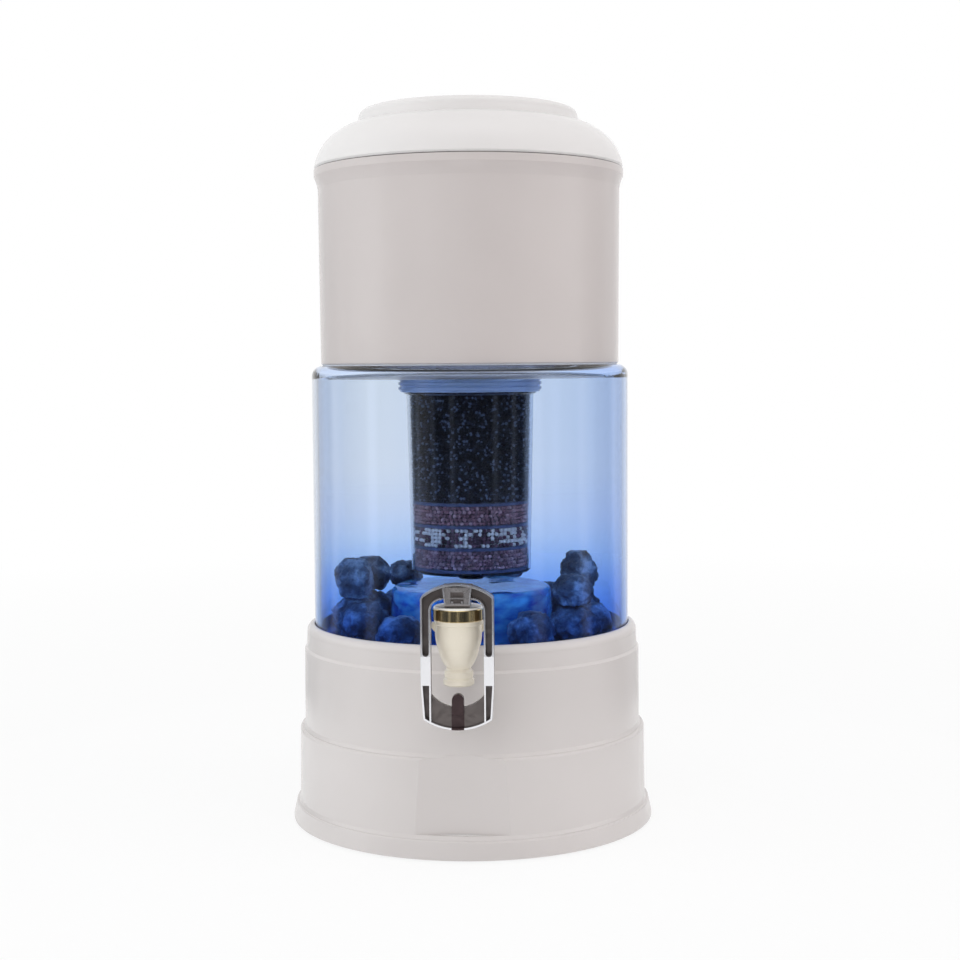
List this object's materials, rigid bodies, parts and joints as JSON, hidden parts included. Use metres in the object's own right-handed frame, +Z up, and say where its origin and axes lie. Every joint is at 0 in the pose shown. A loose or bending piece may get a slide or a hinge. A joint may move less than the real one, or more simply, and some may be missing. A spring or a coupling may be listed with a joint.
{
  "type": "gravity water filter",
  "caption": "Countertop gravity water filter: lidded white tank over a blue glass tank with cartridge and stones, on a stepped stand, with a push-back tap.",
  "frame": {"origin": "on the table under the middle of the stand", "axes": "+Z up, the tap towards -Y, +X to the right as one faces the tap"},
  "size_m": [0.2508, 0.2861, 0.4885],
  "materials": {
    "white_plastic": "satin moulded white",
    "dark_rubber": "matt",
    "pale_rubber": "matt silicone",
    "blue_glass": "clear, blue tint",
    "dark_stone": "rough",
    "cream_plastic": "moulded cream",
    "gold_metal": "polished",
    "chrome": "polished",
    "steel": "drawn wire",
    "filter_sponge": "fine porous, matt",
    "clear_plastic": "clear moulded plastic",
    "black_plastic": "matt",
    "screen_plastic": "frosted",
    "red_brown_balls": "small fired balls",
    "mixed_balls": "small fired balls, white and red brown",
    "carbon": "dull granules"
  },
  "bodies": {
    "stand": {"stand": "white_plastic", "feet": "dark_rubber", "seat_cushion": "pale_rubber"},
    "glass": {"glass_tank": "blue_glass", "mineral_stones": "dark_stone", "tank_gasket": "pale_rubber", "tap_body": "cream_plastic", "outer_gasket": "pale_rubber", "inner_gasket": "pale_rubber", "tap_nut": "cream_plastic", "gold_ring": "gold_metal", "bonnet": "cream_plastic"},
    "tank": {"upper_tank": "white_plastic", "filter_base": "white_plastic", "filter_dome": "filter_sponge", "filter_washer": "pale_rubber"},
    "lid": {"lid": "white_plastic"},
    "cartridge": {"cartridge_seal": "pale_rubber", "cartridge_cap": "clear_plastic", "cartridge_jar": "clear_plastic", "outlet_nozzle": "black_plastic", "bottom_screen": "screen_plastic", "lower_ball_bed": "red_brown_balls", "lower_screen": "screen_plastic", "middle_ball_bed": "mixed_balls", "upper_screen": "screen_plastic", "upper_ball_bed": "red_brown_balls", "carbon_screen": "screen_plastic", "carbon_bed": "carbon"},
    "stem": {"valve_stem": "cream_plastic", "valve_seal": "pale_rubber", "return_spring": "steel", "lever_pin": "steel"},
    "lever": {"lever": "chrome"}
  },
  "joints": [
    {"name": "glass_lift", "type": "slide", "parent": "stand", "child": "glass", "axis": [0, 0, 1], "range_m": [0, 0.06]},
    {"name": "tank_lift", "type": "slide", "parent": "glass", "child": "tank", "axis": [0, 0, 1], "range_m": [0, 0.17]},
    {"name": "lid_lift", "type": "slide", "parent": "tank", "child": "lid", "axis": [0, 0, 1], "range_m": [0, 0.08]},
    {"name": "cartridge_turn", "type": "hinge", "parent": "tank", "child": "cartridge", "pos_m": [0, 0, 0.3], "axis": [0, 0, 1], "range_deg": [0, 90]},
    {"name": "stem_lift", "type": "slide", "parent": "glass", "child": "stem", "axis": [0, 0, 1], "range_m": [0, 0.0026], "stiffness_N_per_m": 600, "springref_m": -0.005, "deforming": ["return_spring"]},
    {"name": "lever_push", "type": "hinge", "parent": "stem", "child": "lever", "pos_m": [0, -0.145, 0.1742], "axis": [1, 0, 0], "range_deg": [0, 14], "stiffness_Nm_per_rad": 0.05, "springref_deg": -20.05}
  ],
  "couplings": [
    {"joint": "stem_lift", "follows": "lever_push", "m_per_rad": 0.0103}
  ]
}
